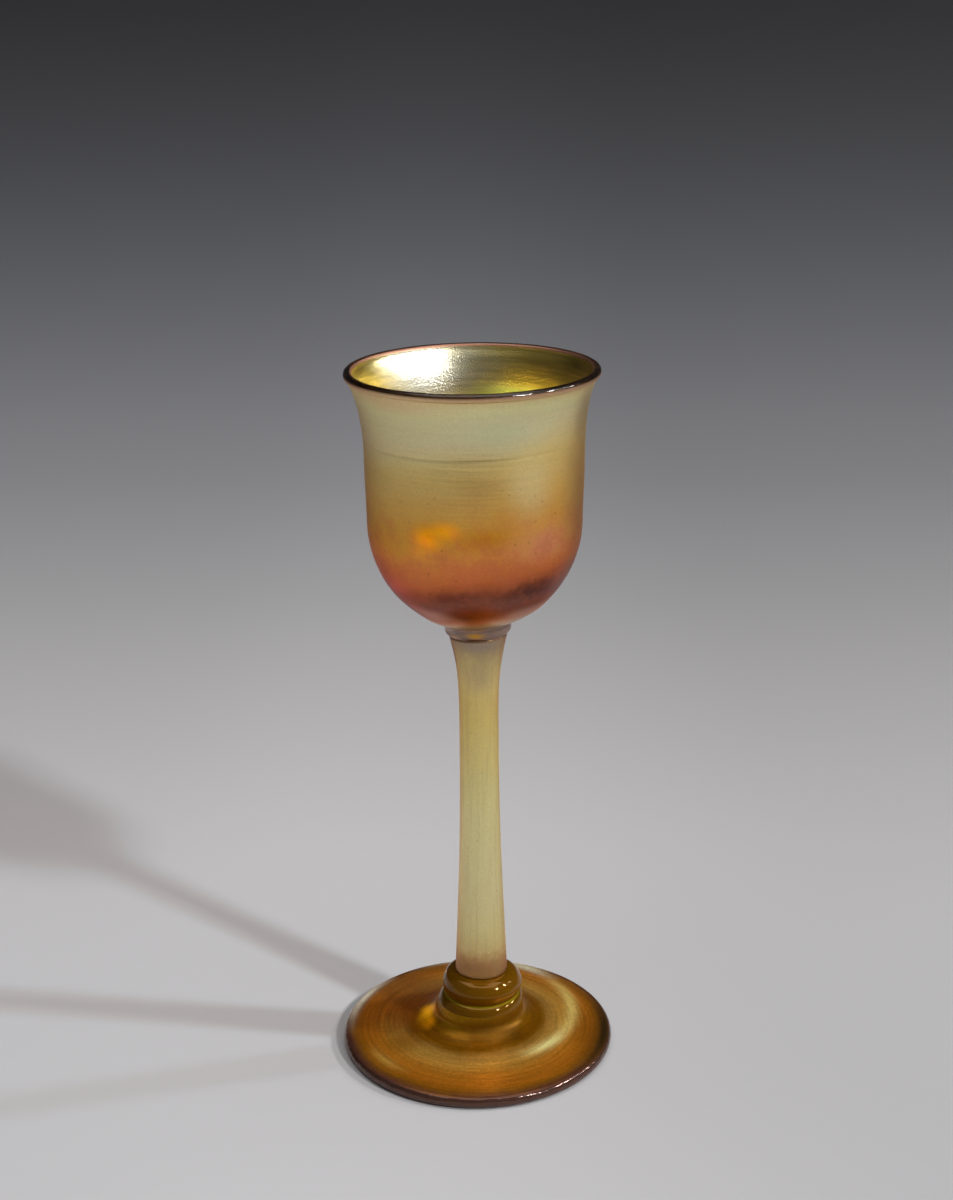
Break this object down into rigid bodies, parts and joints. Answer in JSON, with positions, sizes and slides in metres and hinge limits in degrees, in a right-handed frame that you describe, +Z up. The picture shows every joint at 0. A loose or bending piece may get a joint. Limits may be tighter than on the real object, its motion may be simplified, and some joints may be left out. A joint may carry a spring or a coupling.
{
  "type": "cordial glass",
  "caption": "Small blown stem glass for cordials: bell bowl with a flared rolled lip on a wafer, a drawn satin stem, a round knop and a disc foot.",
  "frame": {"origin": "centre of the foot's rest ring, on the table", "axes": "+Z up along the glass's axis, from the foot to the lip"},
  "size_m": [0.051, 0.051, 0.13],
  "materials": {
    "bowl_lustre": "amber glass with a gold lustre film, mirror-like inside, soft satin outside, orange to plum at the base",
    "wafer_glass": "clear, fire-polished, pale mauve amber",
    "stem_satin": "satin lustre, pale olive gold, rosy at the edges and the bottom end",
    "knop_amber": "clear, fire-polished, deep amber",
    "foot_lustre": "amber glass with a satin gold lustre film in faint rings, clear polished edge"
  },
  "bodies": {
    "root": {"bowl": "bowl_lustre", "wafer": "wafer_glass", "stem": "stem_satin", "knop": "knop_amber", "foot": "foot_lustre"}
  },
  "joints": []
}
